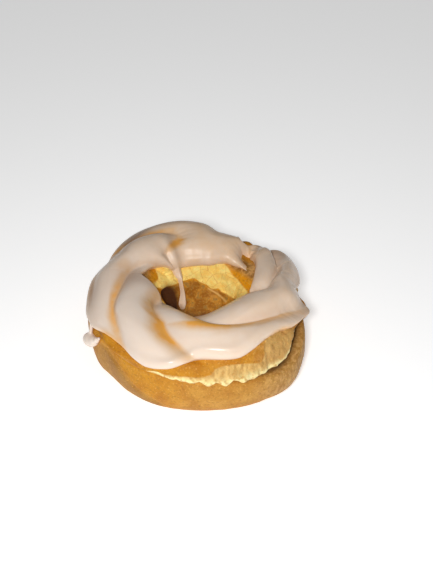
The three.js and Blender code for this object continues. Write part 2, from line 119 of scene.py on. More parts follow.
# The hollow under the icing where it stands clear of the dough, round a station
HOLLOW_MIDDLE = 9
HOLLOW_SPREAD = 1.5
HOLLOW = (
    (40, 0), (195, 0), (208, 1.8), (215, 0.6), (222, 0), (300, 0), (322, 0), (327, 2.8), (336, 2.6), (346, 1),
    (352, 0),
)
CAP_REACH = (
    (0, -4), (24, -2), (36, -1.6), (50, -2.6), (60, -3.4), (72, -2.4), (85, -1.2), (120, 0.8), (140, 0.3),
    (149, -0.7), (156, -1.8), (164, -1.1), (172, 0), (188, 0.7), (204, 2.9), (212, 2.8), (245, 0.4),
    (300, 0), (334, 1.5), (342, 2.3), (351, -1),
)
CAP_LIFT = (
    (0, -1.8), (24, -3.3), (37, -3.3), (47, -4), (57, -2.9), (68, -2.7), (78, -2.4), (88, -1.2), (100, -0.1),
    (120, 0.9), (150, 2.2), (185, 0.2), (240, 0), (300, 0),
)
# The same on the outer shoulder alone, where the piping ends behind
SHOULDER_LIFT = (
    (30, 0), (40, 0.8), (48, -0.2), (56, 2.2), (63, 1.2), (70, -0.6), (77, -1.5), (85, -0.2), (95, 0),
    (300, 0),
)
BASE_REACH = (
    (0, -4), (40, -0.6), (110, 0), (180, 1.4), (203, 1.6), (214, 0.1), (229, 0), (245, -0.6), (272, -1.5),
    (286, -0.5), (300, 1.1), (318, 2.7), (331, 1), (345, -1.9),
)
HOLE_REACH = (
    (0, 0), (90, 0), (172, 0), (194, -2.6), (212, -1.8), (245, -2.2), (290, -2.6), (325, -1.8),
)
# The dark cavity low in the hole's wall, as azimuth, half width, station, half height and depth
CAVITY = (157, 13, 20.3, 1.4, 3)
# The foot of the hole's far wall, which stands out, in the same way
FOOT = (98, 28, 23.2, 1.2, 1.6)
RIM_HEIGHT = (
    (0, 24), (28, 19.5), (56, 17), (78, 17.9), (96, 20.8), (120, 21.9), (150, 22.4), (200, 22.5), (300, 22.5),
)

# Torn lumps that hang from the lip, as azimuth, half width in degrees and drop, and how far each reaches
# out for its drop
LUMP_REACH = 0.5
LUMPS = (
    (252, 3, 0.4), (259, 3, 0.5), (265.5, 3, 0.5), (272.8, 2.5, 1.7), (281.4, 3, 1.8), (289.5, 3.2, 1.1),
    (296, 3.4, 0.9), (303, 4, 0.6),
)

# Piped strands: the azimuth of the groove before each strand at each radius, its height and its crest
GROOVE_RADII = (18, 20, 22, 24, 26, 28, 30, 32, 34, 37, 41)
GROOVES = (
    (-4, -5, -8, -9, -8, -4, 1, 8, 16, 32, 46),
    (0, 6, 18, 34, 41, 44, 47, 48, 50, 57, 68),
    (126, 130, 129, 118, 111, 109, 110.5, 116.5, 127, 140, 152),
    (138, 146, 153, 160, 166, 174, 184, 196, 208, 219, 231),
    (196, 205, 215, 225, 233, 240, 244, 248, 253, 261, 272),
    (240, 250, 262, 272, 279, 287, 304, 320, 330, 339, 351),
)
STRAND_HEIGHTS = (0.75, 1.15, 1, 1, 1, 1.3)
STRAND_CRESTS = (0.5, 0.5, 0.5, 0.5, 0.5, 0.7)
STRAND_FULLNESS = 2.2

# How full a groove is, in the dough and under the icing
SHARP = 0.1
FILLED = 0.25

# Where the crust has burst: stations between which the pale crumb shows, outside and in the hole, and over
# how many stations it starts and ends
TORN_ABOVE = 7.4
TORN_FADE = 0.3
TORN_EDGE = 0.2
TORN_BELOW = (
    (20, 9.4), (110, 9.2), (180, 8.8), (205, 7.6), (225, 7), (240, 7.4), (246, 8.4), (252, 8.6), (259, 8.8),
    (268.5, 8.95), (274, 9.4), (276.5, 10.1), (282.5, 10.4), (289, 10.3), (295, 10), (300, 9.7), (302, 10.1),
    (304, 11.2), (307, 12), (316, 12.2), (324, 12.2), (329, 8), (345, 7.8),
)
TORN_INSIDE_FROM = (
    (0, 17.6), (16, 17.2), (29, 17.1), (42, 16.8), (52, 16.4), (62, 16), (75, 15.6), (136, 15.6),
    (148, 16.6), (156, 17), (175, 16.2), (270, 16),
)
TORN_INSIDE_TO = (
    (0, 20), (33, 20), (56, 19.6), (62, 19.2), (72, 19.65), (80, 19.35), (92, 19.5), (100, 19.1),
    (116, 19.4), (136, 19.5), (153, 19.2), (158, 18.8), (164, 17.6), (172, 17.2), (200, 19), (300, 19.6),
)
# A pale line along a small ridge in the brown wall of the hole, as azimuth and station
PALE_LINE_PATH = ((41, 20.65), (61, 20.08), (77, 19.85))
PALE_LINE_WIDTH = 0.11
PALE_LINE_FADE = 3
PALE_LINE_RISE = 0.25

# The icing's edges, as heights on the plain section, and the bare wedge between two strands
ICING_OUTER = (
    (6, 26), (25, 25.6), (42, 26.6), (48, 29.4), (53, 32.4), (58, 32.8), (63, 29.8), (68, 27), (80, 25.4),
    (120, 25), (184, 24.5),
    (206, 25.8), (215, 28.5), (225, 28.2), (236, 25.8), (243, 24.4), (252, 25.6), (263, 29), (270, 30),
    (288, 29), (297, 30.1), (306, 31.2), (317, 31.2), (326, 29.6), (336, 28.1), (343, 27.2), (349, 29.4),
    (355, 30.2), (359, 28.8),
)
ICING_INNER = (
    (4, 28.8), (18, 31), (45, 31), (56, 30.2), (66, 29.2), (79, 27.4), (99, 25.9), (114, 25.5),
    (128, 25.6), (138, 27.9), (148, 29.4), (163, 31.4), (174, 32.4), (188, 28), (200, 25), (240, 23),
    (300, 23), (340, 25),
)
BARE_RADII = (20, 21.6, 23.5, 25.2, 27.4, 29.6, 31.4, 33.2)
BARE_FROM = (5, 16, 24, 29, 36, 42, 44.5, 47)
BARE_TO = (30, 35, 43, 49, 51, 52, 51, 49)
BARE_SLANT = 0.6
BARE_START = 12.7

# The thin film of icing on the wedge: its strength, where and how wide it is in millimetres, and its stations
FILM_STRENGTH = 0.85
FILM_MIDDLE = 0.4
FILM_SPREAD = 1.1
FILM_SPAN = (12.5, 13.5, 17, 19)

# The run of icing into the hole
DRIP_STATIONS = (15.5, 18.1, 19.5, 20.6, 21.3, 21.75)
DRIP_AZIMUTH = (122, 123, 123.6, 125, 129.5, 132)
DRIP_HALF_WIDTH = (2.6, 1.7, 0.8, 0.9, 1.6, 0.2)
# Where the icing has pooled in a groove before it runs into the hole, as azimuth, half width, station and
# half height, and how much fuller the groove is there
POOL = (124, 9, 15.8, 2.1)
POOL_FILLING = 0.8

# The bead along the icing's lower edges: where it is highest, in from the edge, and how high round the ring
BEAD_HEIGHT = 0.6
BEAD_MIDDLE = 3.2
BEAD_SPREAD = 1.7
BEADS = (
    (40, 0), (60, 0.5), (75, 0.6), (118, 0.6), (140, 0.3), (160, 0), (225, 0), (240, 0.8), (255, 1.2),
    (300, 1), (330, 0.4), (345, 0),
)

# The hanging drop, balls of icing, and the thread that it hangs on: azimuth, radius, height and size
DROP = (
    (202.2, 45.9, 20.2, 2.9), (204.6, 45.7, 20.6, 2.8), (206.8, 45.2, 21.7, 2.1), (208.6, 44.5, 23.2, 1.3),
    (209.8, 43.9, 24.4, 0.7),
)
THREAD = (
    (199.6, 42, 29.8, 1.7), (199.6, 43, 28, 1.15), (200.2, 43.9, 25.8, 0.8), (201.2, 44.6, 23.8, 0.7),
    (202.2, 45.3, 22.2, 0.8),
)
THREAD_BALLS = 22
BALL_FINENESS = 0.3
BALL_EDGE = 0.4
BALL_SPREAD = 1.3

# Stations off the flat underside, and between which the icing covers the dough
STANDING = (1, 3, 23, 24.5)
COVERED_FROM = (9, 11)
COVERED_TO = (16, 18)

# Flakes and crumbs where the crust has burst; the crumbs as (size, depth)
FLAKE_SIZE = 3.4
FLAKE_TILT = 0.4
FLAKE_HOLD = 14
CRUMB_SIZES = ((2.2, 0.22), (1.1, 0.14), (0.6, 0.08))

# Pleats down the burst side, measured at its radius, and how strong they are, as (azimuth, share)
SIDE_RADIUS = 1.5 * RING_RADIUS
PLEAT_WIDTH = 1.1
PLEAT_LENGTH = 5
PLEAT_DEPTH = 0.4
PLEATS = ((0, 0.3), (200, 0.2), (262, 0.25), (292, 0.4), (302, 0.8), (325, 0.9), (345, 0.5))

# The frayed edge of the lip, whose teeth are given as (share, width)
FRAY_TEETH = ((0.6, 1.6), (0.4, 1.6 / 2.3))
FRAY_DROP = 0.7
FRAY_MIDDLE = LIP - 0.1
FRAY_SPREAD = 0.5

# Dimples and wrinkles of the crust, and the crease in the base's left side as (azimuth, station)
DIMPLE_SIZE = 4
DIMPLE_DEPTH = 0.1
WRINKLE_SIZE = 1.5
WRINKLE_DEPTH = 0.05
CREASE = (
    (190, 6.2), (215, 5.69), (219.5, 5.39), (225, 5.04), (231, 4.4), (237.5, 3.73), (245.6, 3.31), (254, 2.9),
    (300, 2.4),
)
CREASE_WIDTH = 0.16
CREASE_DEPTH = 0.7

# Ripples in the icing where it set while it ran, as azimuth, half width, station, half height and depth
RIPPLES = ((16, 18, 12.3, 0.8, 0.3), (330, 10, 12.3, 0.7, 0.25))
RIPPLE_WIDTH = 0.9
RIPPLE_LENGTH = 6

# How strongly the dough shows through the icing along each groove at each radius. The tint fades softly on
# one side of a groove and crisply on the other, and lies a little off its middle, in millimetres
GROOVE_TINTS = (
    (0, 0, 0.1, 0.15, 0.2, 0.2, 0.2, 0.2, 0.2, 0.2, 0.1),
    (0, 0, 0, 0, 0, 0.2, 0.3, 0.4, 0.5, 0.5, 0.4),
    (0, 0, 0.5, 1, 1, 0.6, 0.35, 0.6, 0.85, 0.85, 0.7),
    (0, 0, 0.1, 0.2, 0.3, 0.4, 0.55, 0.75, 0.8, 0.6, 0.5),
    (0.3, 0.4, 0.5, 0.65, 0.85, 1, 1.1, 1.1, 1, 0.5, 0.2),
    (0.2, 0.3, 0.6, 1.1, 1.3, 1.4, 1.2, 0.8, 0.6, 0.4, 0.3),
)
SOFT_WIDTHS = (1.6, 1.5, 2.2, 1.6, 3.4, 3.6)
CRISP_WIDTHS = (1, 0.9, 1.5, 1.1, 1.2, 1)
GROOVE_TINT_SHIFTS = (0, 0, 0.4, 0.6, 0.6, 1.1)

# Along its edges the icing is thin
EDGE_TINTS = (
    (0, 0.3), (40, 0.25), (100, 0.25), (160, 0.35), (200, 0.35), (225, 0.35), (245, 0.1), (300, 0.15),
    (318, 0.6), (340, 0.6),
)
EDGE_TINT_WIDTH = 1.3

# The same all round the ring, and in places given as azimuth, half width, station, half height and strength
GLAZE_TINTS = (
    (0, 0.22), (25, 0.22), (45, 0.34), (90, 0.34), (125, 0.26), (150, 0.18),
    (180, 0.1), (215, 0.06), (250, 0.08), (290, 0.16), (325, 0.22),
)
PLACE_TINTS = (
    (169, 8, 13.6, 0.7, 0.35), (219, 7, 11.1, 0.5, 0.75), (126, 8, 20, 1.8, 0.35),
    (287, 14, 13.3, 0.5, 0.35), (180, 12, 10.8, 0.7, 0.7), (124, 8, 13, 0.4, 0.35),
    (20, 14, 11.6, 0.5, 0.3), (36, 6, 14.8, 1.6, 0.4), (312, 14, 11.6, 0.7, 0.4),
)

# Painted shade on the icing, where it is painted greyer and darker as if turned from the light, in the same
# way
ICING_PAINTED_SHADE_PLACES = (
    (183, 14, 11.1, 0.8, 0.6), (136, 18, 11.8, 0.8, 0.8), (112, 14, 11.7, 0.7, 0.35),
    (162, 12, 11.3, 0.8, 0.6), (178, 14, 14.2, 1.2, 0.5), (150, 12, 12.8, 0.5, 0.35),
    (350, 14, 11, 0.7, 0.4), (40, 14, 11.5, 0.7, 0.5),
)

# How orange the crust has baked round the base and below its crease, 0 to 1, and the stations over which
# the orange comes: past the crease, and above the base's edge
BASE_TOAST = (
    (0, 0.3), (120, 0.3), (180, 0.4), (205, 0.7), (225, 1), (245, 1), (256, 0.75), (265, 0.45), (300, 0.3),
    (318, 0.1),
)
BELOW_CREASE = 0.1
TOAST_CREASE = (-0.15, 0.3)
ORANGE_ABOVE = (7.6, 8.6)

# How brown the base is below its crease: stations below it over which the brown comes and partly goes
BROWN_COMES = (-0.05, 0.25)
BROWN_GOES = (0.5, 2)
BROWN_LOSS = 0.6

# Azimuths between which a side has its own shade: rise from, full at, fade from and gone at
LEFT_SIDE = (195, 212, 244, 254)
RIGHT_SIDE = (290, 312, 334, 359)
DULL_BACK = (30, 60, 150, 180)
CREASE_SIDE = (208, 214, 244, 252)
FRAYED_FROM = (246, 258)

# The soft edge of the torn paint and the cream band on the lip, in stations
TORN_PAINT_EDGE = 0.12
LIP_PAINT_MIDDLE = LIP + 0.2
LIP_PAINT_SPREAD = 0.45

# How dark the painted shade is in the shaded places, where it lies, and how deep in millimetres a place has
# its full painted shade
HOLLOW_SHADE = 0.75
HOLLOW_SHADE_SPREAD = 1.6
SEAM_SHADE = 0.55
SEAM_SHADE_SPAN = (6.3, 6.7, 7.5, 7.9)
SHADE_FULL_AT = 3
HOLE_SHADE = 0.7
HOLE_SHADE_SPAN = (22, 23.4)
CAVITY_SHADE = 2
CAVITY_SHADE_TURN = -6
CAVITY_SHADE_DROP = 0.4

# How finely the two surfaces are divided: columns round the ring, the crust's rows as (from, to, how many),
# and the icing's rows at its edges, in millimetres inside them, and in number over the cap, down the run and
# back underneath
FRONT = (225, 352)
FRONT_COLUMNS = 250
OTHER_COLUMNS = 190
CRUST_ROWS = (
    (0.1, 3, 9), (3, 6, 30), (6, 7.4, 14), (7.4, 12.2, 62), (12.2, 15.4, 8),
    (15.4, 20.2, 60), (20.2, 23, 24), (23, 25.6, 7),
)
ICING_COLUMNS = 540
EDGE_ROWS = (-1.6, -0.9, -0.5, -0.25, -0.1, 0, 0.05, 0.15, 0.3, 0.5, 0.75, 1.1, 1.6, 2.2)
COAT_ROWS = 74
RUN_ROWS = 26
ROOT_ROWS = 12

# Distance round the section at each station, and the stations that the icing's edges are read from
STEPS = np.arange(len(SECTION))
ARC = np.concatenate([[0], np.cumsum(np.hypot(*np.diff(SECTION, axis=0).T))])
OUTER_STEPS = STEPS[ICING_LOWEST:CREST + 1]
INNER_STEPS = STEPS[CREST:WALL_END + 1][::-1]


def turn(degrees):
    """The same direction as an angle from 0 to 360"""
    return np.mod(degrees, 360)


def apart(a, b):
    """How far azimuth a lies past b, -180 to 180"""
    return turn(a - b + 180) - 180


def bell(x):
    return np.exp(-x * x)


def ramp(x, xs, ys):
    return np.interp(x, xs, ys)


def ease(x, low, high):
    """A smooth rise from 0 at low to 1 at high"""
    t = np.clip((x - low) / (high - low), 0, 1)
    return t * t * (3 - 2 * t)


def between(x, start, full, fade, end):
    """0 up to start, 1 from full to fade, and 0 past end"""
    return ease(x, start, full) * (1 - ease(x, fade, end))


def near(azimuth, station, where, half, middle, high):
    """1 at a place on the ring, fading within a half width in degrees and a half height in stations"""
    return bell(apart(azimuth, where) / half) * bell((station - middle) / high)


def cubic(a, b, c, d, x):
    """A smooth step from b to c, led by the marks a before and d after"""
    return b + 0.5 * x * (c - a + x * (2 * a - 5 * b + 4 * c - d + x * (3 * (b - c) + d - a)))


def around(azimuth, marks):
    """A smooth curve round the ring through (azimuth, value) marks"""
    angles, values = np.array(marks, float).T
    n = len(angles)
    at = turn(azimuth)
    i = np.searchsorted(angles, at, side="right") - 1
    start = angles[i % n]
    span = turn(angles[(i + 1) % n] - start)
    a, b, c, d = (values[(i + k) % n] for k in (-1, 0, 1, 2))
    return cubic(a, b, c, d, turn(at - start) / span)


def section(station):
    """Offset and height of the plain section at a station"""
    i = np.floor(station).astype(int)
    points = [SECTION[(i + k) % len(SECTION)] for k in (-1, 0, 1, 2)]
    curve = cubic(*points, (station - i)[..., None])
    return curve[..., 0], curve[..., 1]


def turn_station(station):
    return np.mod(station, len(SECTION))


def outward(station):
    """The outward direction on the plain section, as its parts along the radius and upward"""
    step = 0.02
    o1, h1 = section(turn_station(station + step))
    o0, h0 = section(turn_station(station - step))
    length = np.hypot(o1 - o0, h1 - h0)
    return (h1 - h0) / length, (o0 - o1) / length


def plain_ring(azimuth, station):
    """The ring without strands and crags: radius and height, uneven as baked"""
    offset, height = section(station)
    top = around(azimuth, BASE_TOP) - BASE_EDGE_HEIGHT
    height = height + top * ramp(station, TOP_SPAN, (0, 1, 0))
    lip = around(azimuth, LIP_HEIGHT) - LIP_LEVEL
    height = height + lip * ramp(station, LIP_SPAN, (0, 1, 0.8, 0))
    height = height + around(azimuth, CAP_LIFT) * ramp(station, CAP_LIFT_SPAN, (0, 1, 1, 0))
    height = height + around(azimuth, SHOULDER_LIFT) * ramp(station, SHOULDER_SPAN, (0, 1, 1, 0))
    rim = around(azimuth, RIM_HEIGHT) - RIM_LEVEL
    height = height + rim * ramp(station, RIM_SPAN, (0, 1, 1, 0))
    offset = offset - around(azimuth, SEAM_DEPTH) * bell((station - SEAM) / SEAM_SPREAD)
    height = height - around(azimuth, SEAM_DIP) * bell((station - SEAM) / DIP_SPREAD)
    offset = offset + around(azimuth, LIP_REACH) * bell((station - LIP) / LIP_SPREAD)
    offset = offset + around(azimuth, CAP_REACH) * ramp(station, CAP_REACH_SPAN, (0, 1, 0.8, 0))
    offset = offset + around(azimuth, BASE_REACH) * ramp(station, BASE_REACH_SPAN, (0, 1, 1, 0))
    offset = offset + around(azimuth, HOLE_REACH) * ramp(station, HOLE_REACH_SPAN, (0, 1, 0.6, 0))
    offset = offset - around(azimuth, HOLLOW) * bell((station - HOLLOW_MIDDLE) / HOLLOW_SPREAD)
    *cavity, cavity_depth = CAVITY
    *foot, foot_depth = FOOT
    offset = offset + cavity_depth * near(azimuth, station, *cavity)
    offset = offset - foot_depth * near(azimuth, station, *foot)
    for where, half, drop in LUMPS:
        lump = drop * near(azimuth, station, where, half, LIP, LUMP_SPREAD)
        height = height - lump
        offset = offset + LUMP_REACH * lump
    return RING_RADIUS + offset, np.maximum(height, 0)


def strand_profile(azimuth, radius, softness):
    """Height of the piped strands over the cap: 0 at their crests, down to -1 in the grooves"""
    edges = [ramp(radius, GROOVE_RADII, groove) for groove in GROOVES]
    swell = np.zeros(np.broadcast(azimuth, radius).shape)
    for k, (height, crest) in enumerate(zip(STRAND_HEIGHTS, STRAND_CRESTS)):
        t = turn(azimuth - edges[k]) / turn(edges[(k + 1) % len(edges)] - edges[k])
        x = np.where(t < crest, 1 - t / crest, (t - crest) / (1 - crest))
        swell = np.where(t < 1, height * (1 - np.abs(x) ** STRAND_FULLNESS), swell)
    return np.hypot(swell, softness) - 1


def strand_relief(azimuth, station, softness):
    """The strands' height on the cap in millimetres, 0 where the cap ends"""
    cap = ramp(station, STRAND_SPAN, (0, 1, 1, 0))
    return GROOVE_DEPTH * cap * strand_profile(azimuth, RING_RADIUS + section(station)[0], softness)


def lattice(i, j, k):
    """A repeatable scattered number for each corner, 0 to 1"""
    n = np.sin(i * 12.9898 + j * 78.233 + k * 37.719) * 43758.5453
    return n - np.floor(n)


def noise(points, size):
    """Repeatable smooth noise, -1 to 1"""
    scaled = points / size
    cell = np.floor(scaled)
    t = ease(scaled - cell, 0, 1)
    total = 0
    for i in (0, 1):
        for j in (0, 1):
            for k in (0, 1):
                corner = (i, j, k)
                weight = np.prod([t[..., a] if corner[a] else 1 - t[..., a] for a in range(3)], axis=0)
                total = total + weight * lattice(cell[..., 0] + i, cell[..., 1] + j, cell[..., 2] + k)
    return 2 * total - 1


def flakes(points, size):
    """Crumpled plates: each scattered centre holds a tilted plate, and near plates meet in a crease"""
    cell = np.floor(points / size)
    total = 0
    share = 0
    for i in (-1, 0, 1):
        for j in (-1, 0, 1):
            for k in (-1, 0, 1):
                c = [cell[..., 0] + i, cell[..., 1] + j, cell[..., 2] + k]
                # Corners further off give each plate a middle and a tilt of its own
                middle = np.stack([(c[a] + lattice(c[0] + 7 * a, c[1], c[2])) * size for a in range(3)], -1)
                tilt = np.stack([lattice(c[0], c[1] + 5 * a, c[2] + 3) - 0.5 for a in range(3)], -1)
                reach = points - middle
                hold = np.exp(-FLAKE_HOLD * np.linalg.norm(reach, axis=-1) / size)
                total = total + hold * np.sum(reach * tilt, axis=-1)
                share = share + hold
    return total / share


def torn(azimuth, station, edge=TORN_EDGE):
    """How far the crust has burst at a place, 0 to 1"""
    top = around(azimuth, TORN_BELOW)
    outside = between(station, TORN_ABOVE, TORN_ABOVE + TORN_FADE, top - edge, top + edge)
    start = around(azimuth, TORN_INSIDE_FROM)
    end = around(azimuth, TORN_INSIDE_TO)
    inside = between(station, start - edge, start + edge, end - edge, end + edge)
    return np.maximum(outside, inside)


def position(azimuth, station, out):
    """The point at a place on the ring, moved outward by some millimetres"""
    radius, height = plain_ring(azimuth, station)
    outward_r, outward_z = outward(station)
    radius = radius + outward_r * out
    angle = np.radians(azimuth)
    height = np.maximum(height + outward_z * out, 0)
    return np.stack([radius * np.cos(angle), radius * np.sin(angle), height], axis=-1)


def crags(azimuth, station):
    """The unevenness of the crust and the deeper lumps where it has burst, outside the icing"""
    point = position(azimuth, station, 0)
    uncovered = np.maximum(1 - ease(station, *COVERED_FROM), ease(station, *COVERED_TO))
    lumps = CRUST_UNEVENNESS * between(station, *STANDING) * uncovered * noise(point, CRUST_LUMP_SIZE)
    return lumps + CRAG_DEPTH * torn(azimuth, station) * uncovered * noise(point, CRAG_SIZE)


def pale_line(azimuth, station):
    """The pale line along a small ridge in the wall of the hole, 0 to 1"""
    azimuths, stations = zip(*PALE_LINE_PATH)
    away = np.abs(station - ramp(azimuth, azimuths, stations)) / PALE_LINE_WIDTH
    start, end = azimuths[0], azimuths[-1]
    return bell(away) * between(azimuth, start - PALE_LINE_FADE, start, end, end + PALE_LINE_FADE)


def creased(azimuth, station):
    """The crease in the base's left side, 0 to 1"""
    away = np.abs(station - around(azimuth, CREASE)) / CREASE_WIDTH
    return bell(away) * between(azimuth, *CREASE_SIDE)


def grained(azimuth, station, width, length):
    """Streaks that run down the side, -1 to 1"""
    arc = np.radians(azimuth) * SIDE_RADIUS
    down = np.broadcast_to(ramp(station, STEPS, ARC), arc.shape)
    return noise(np.stack([arc / width, down / length, np.full(arc.shape, 0.5)], -1), 1)


def fine_relief(azimuth, station):
    """Flakes, pleats and crumbs where the crust has burst, dimples and wrinkles elsewhere"""
    point = position(azimuth, station, 0)
    burst = torn(azimuth, station)
    inside = ease(station, CREST, CREST + 1)
    crumb = sum(depth * noise(point, size) for size, depth in CRUMB_SIZES)
    pleats = PLEAT_DEPTH * around(azimuth, PLEATS) * grained(azimuth, station, PLEAT_WIDTH, PLEAT_LENGTH)
    plates = FLAKE_TILT * flakes(point, FLAKE_SIZE)
    skin = DIMPLE_DEPTH * noise(point, DIMPLE_SIZE) + WRINKLE_DEPTH * noise(point, WRINKLE_SIZE)
    skin = skin - CREASE_DEPTH * creased(azimuth, station) + PALE_LINE_RISE * pale_line(azimuth, station)
    burst_relief = crumb + pleats * (1 - inside) + plates
    return between(station, *STANDING) * (burst * burst_relief + (1 - burst) * skin)


def fray(azimuth, station):
    """How far the lip's torn edge hangs lower, in small ragged teeth"""
    level = 0 * station
    teeth = sum(share * grained(azimuth, level, size, 1) for share, size in FRAY_TEETH)
    return FRAY_DROP * teeth * ease(azimuth, *FRAYED_FROM) * bell((station - FRAY_MIDDLE) / FRAY_SPREAD)


def icing_edges(azimuth):
    """Distances round the section at which the icing starts and ends"""
    outer = ramp(around(azimuth, ICING_OUTER), SECTION[OUTER_STEPS, 1], OUTER_STEPS)
    inner = ramp(around(azimuth, ICING_INNER), SECTION[INNER_STEPS, 1], INNER_STEPS)
    return ramp(outer, STEPS, ARC), ramp(inner, STEPS, ARC)


def inside_icing(azimuth, station):
    """Distance inside the icing's edge, negative outside it"""
    radius = RING_RADIUS + section(station)[0]
    arc = ramp(station, STEPS, ARC)
    outer, inner = icing_edges(azimuth)
    depth = np.minimum(arc - outer, inner - arc)
    past = apart(azimuth, ramp(radius, BARE_RADII, BARE_FROM))
    before = apart(ramp(radius, BARE_RADII, BARE_TO), azimuth)
    bare = -BARE_SLANT * np.radians(np.minimum(past, before)) * radius
    wedge = (station > BARE_START) & (radius <= BARE_RADII[-1])
    depth = np.where(wedge, np.minimum(depth, bare), depth)
    across = np.abs(np.radians(apart(azimuth, ramp(station, DRIP_STATIONS, DRIP_AZIMUTH)))) * radius
    drip = ramp(station, DRIP_STATIONS, DRIP_HALF_WIDTH) - across
    dripping = (station > DRIP_STATIONS[0]) & (station < DRIP_STATIONS[-1])
    return np.where(dripping, np.maximum(depth, drip), depth)


def ripples(azimuth, station):
    """Height of the small ripples in the icing"""
    depth = sum(depth * near(azimuth, station, *place) for *place, depth in RIPPLES)
    return depth * grained(azimuth, station, RIPPLE_WIDTH, RIPPLE_LENGTH)


def icing_top(azimuth, station):
    """Height of the icing's upper side over the dough, which dips under it past its edges"""
    depth = inside_icing(azimuth, station)
    rounded = np.sqrt(1 - (1 - np.clip(depth / ICING_ROUNDING, 0, 1)) ** 2)
    under = np.maximum(ICING_DIP_SLOPE * depth, -ICING_DIP)
    bead = BEAD_HEIGHT * around(azimuth, BEADS) * bell((depth - BEAD_MIDDLE) / BEAD_SPREAD)
    coat = np.where(depth > 0, (ICING_THICKNESS + ICING_GAP) * rounded + bead * rounded, under)
    filled = FILLED + POOL_FILLING * near(azimuth, station, *POOL)
    return strand_relief(azimuth, station, filled) + coat + ripples(azimuth, station)


def groove_distances(azimuth, station):
    """Distance to each groove between strands, negative before it"""
    radius = RING_RADIUS + section(station)[0]
    distances = []
    for groove in GROOVES:
        slope = ramp(radius + 0.5, GROOVE_RADII, groove) - ramp(radius - 0.5, GROOVE_RADII, groove)
        lean = np.hypot(1, np.radians(slope) * radius)
        distances.append(np.radians(apart(azimuth, ramp(radius, GROOVE_RADII, groove))) * radius / lean)
    return distances


def tint(azimuth, station):
    """How strongly the dough shows through the icing, 0 to 1"""
    radius = RING_RADIUS + section(station)[0]
    shown = around(azimuth, GLAZE_TINTS)
    distances = groove_distances(azimuth, station)
    for away, strengths, shift, soft, crisp in zip(
        distances, GROOVE_TINTS, GROOVE_TINT_SHIFTS, SOFT_WIDTHS, CRISP_WIDTHS
    ):
        along = ramp(radius, GROOVE_RADII, strengths)
        off = away + shift
        shown = np.maximum(shown, along * bell(np.where(off < 0, off / soft, off / crisp)))
    depth = inside_icing(azimuth, station)
    shown = np.maximum(shown, around(azimuth, EDGE_TINTS) * bell(np.maximum(depth, 0) / EDGE_TINT_WIDTH))
    for *place, strength in PLACE_TINTS:
        shown = np.maximum(shown, strength * near(azimuth, station, *place))
    return shown


def icing_painted_shade(azimuth, station):
    """Painted shade on the icing, where it is greyer and darker, 0 to 1"""
    return np.maximum.reduce([strength * near(azimuth, station, *place) for *place, strength in ICING_PAINTED_SHADE_PLACES])


def darker_below_crease(azimuth, station):
    """Where the base is painted a darker brown, below its crease and most of all next to it, 0 to 1"""
    below = around(azimuth, CREASE) - station
    lost = BROWN_LOSS * ease(below, *BROWN_GOES)
    return between(azimuth, *LEFT_SIDE) * ease(below, *BROWN_COMES) * (1 - lost)


def toast(azimuth, station):
    """How orange the crust has baked, 0 to 1"""
    above = ease(station - around(azimuth, CREASE), *TOAST_CREASE)
    under = between(azimuth, *LEFT_SIDE) * (1 - above)
    base = around(azimuth, BASE_TOAST) * (1 - under) + BELOW_CREASE * under
    return np.maximum(base, ease(station, *ORANGE_ABOVE))


def shadowed(azimuth, station):
    """Painted shade on the crust: in the cavity, in the hollow, in the seam at the right and low in the hole,
    0 to 1
    """
    where, half, middle, high = CAVITY[:-1]
    cavity = near(azimuth, station, where + CAVITY_SHADE_TURN, half, middle + CAVITY_SHADE_DROP, high)
    hollow = np.clip(around(azimuth, HOLLOW) / SHADE_FULL_AT, 0, 1)
    hollow = hollow * bell((station - HOLLOW_MIDDLE) / HOLLOW_SHADE_SPREAD)
    seam = np.clip(around(azimuth, SEAM_DIP) / SHADE_FULL_AT, 0, 1) * between(station, *SEAM_SHADE_SPAN)
    low = ease(station, *HOLE_SHADE_SPAN)
    shades = [CAVITY_SHADE * cavity, HOLLOW_SHADE * hollow, SEAM_SHADE * seam, HOLE_SHADE * low]
    return np.clip(np.maximum.reduce(shades), 0, 1)


# Meshes


def woven(name, grid, masks, material):
    """A closed mesh woven from rows that run round the ring. Each mask becomes a vertex attribute"""
    rows, columns = grid.shape[:2]
    points = grid.reshape(-1, 3) - (CENTRE[0], CENTRE[1], 0)
    index = np.arange(rows * columns).reshape(rows, columns)
    above = np.roll(index, -1, axis=0)
    corners = [index, np.roll(index, -1, axis=1), np.roll(above, -1, axis=1), above]
    quads = np.stack(corners, -1).reshape(-1, 4)
    mesh = bpy.data.meshes.new(name)
    mesh.from_pydata((points * MM).tolist(), [], quads.tolist())
    mesh.polygons.foreach_set("use_smooth", np.ones(len(quads), bool))
    for mask, values in masks.items():
        layer = mesh.attributes.new(mask, "FLOAT", "POINT")
        layer.data.foreach_set("value", np.ascontiguousarray(values, dtype=np.float32).ravel())
    mesh.materials.append(material)
    thing = bpy.data.objects.new(name, mesh)
    bpy.context.scene.collection.objects.link(thing)
    return thing


def film(azimuth, station):
    """A thin film of icing on the bare wedge, along the nearer strand"""
    radius = RING_RADIUS + section(station)[0]
    past = np.radians(apart(azimuth, ramp(radius, BARE_RADII, BARE_FROM))) * radius * BARE_SLANT
    return FILM_STRENGTH * bell((past - FILM_MIDDLE) / FILM_SPREAD) * between(station, *FILM_SPAN)


def crust_columns():
    """Azimuths of the crust's columns, closer together in front"""
    start, end = FRONT
    front = np.linspace(start, end, FRONT_COLUMNS, endpoint=False)
    other = np.linspace(end, start + 360, OTHER_COLUMNS, endpoint=False)
    return turn(np.concatenate([front, other]))


def crust_rows():
    """Stations of the crust's rows, closer together where it is torn"""
    return np.concatenate([np.linspace(a, b, n, endpoint=False) for a, b, n in CRUST_ROWS])


